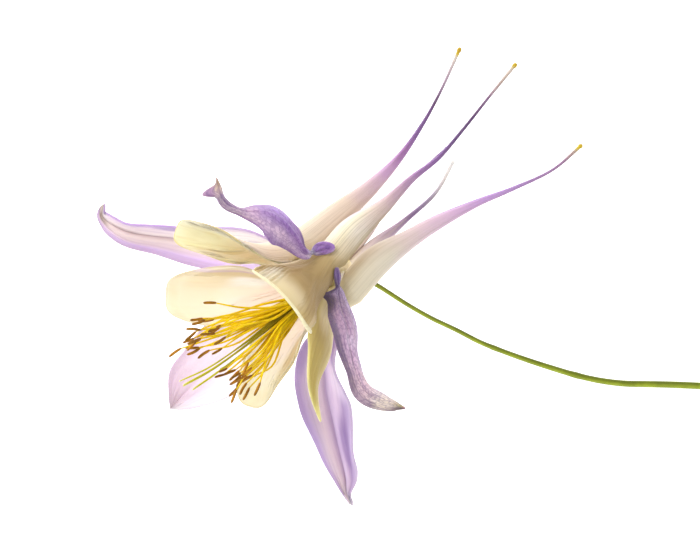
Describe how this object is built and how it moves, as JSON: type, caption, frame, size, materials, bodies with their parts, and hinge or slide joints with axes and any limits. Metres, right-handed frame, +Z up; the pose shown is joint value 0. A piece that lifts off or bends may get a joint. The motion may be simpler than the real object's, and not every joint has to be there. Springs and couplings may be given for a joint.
{
  "type": "columbine flower",
  "caption": "Picked columbine flower lying on its side: long-spurred cream petals, mauve sepals, golden stamens and a thin curved green stalk.",
  "frame": {"origin": "centre of the bounding box in plan, at the level surface the flower lies on", "axes": "+Z up, away from the surface; +X along the stalk towards its cut end; +Y across, on the side where the upper spur points"},
  "size_m": [0.1141, 0.0753, 0.0418],
  "materials": {
    "petal": "soft, slightly waxy cream, lilac towards the spurs",
    "sepal": "soft mauve with fine darker veins",
    "stamen": "satin golden yellow with brown anthers",
    "pistil": "satin yellow-green",
    "stem": "satin green, finely downy"
  },
  "bodies": {
    "root": {"petal_front": "petal", "petal_upper": "petal", "petal_lower": "petal", "petal_back_upper": "petal", "petal_back_lower": "petal", "sepal_left": "sepal", "sepal_top": "sepal", "sepal_right": "sepal", "sepal_bottom": "sepal", "sepal_back": "sepal", "stamens": "stamen", "pistil": "pistil", "stem": "stem"}
  },
  "joints": []
}
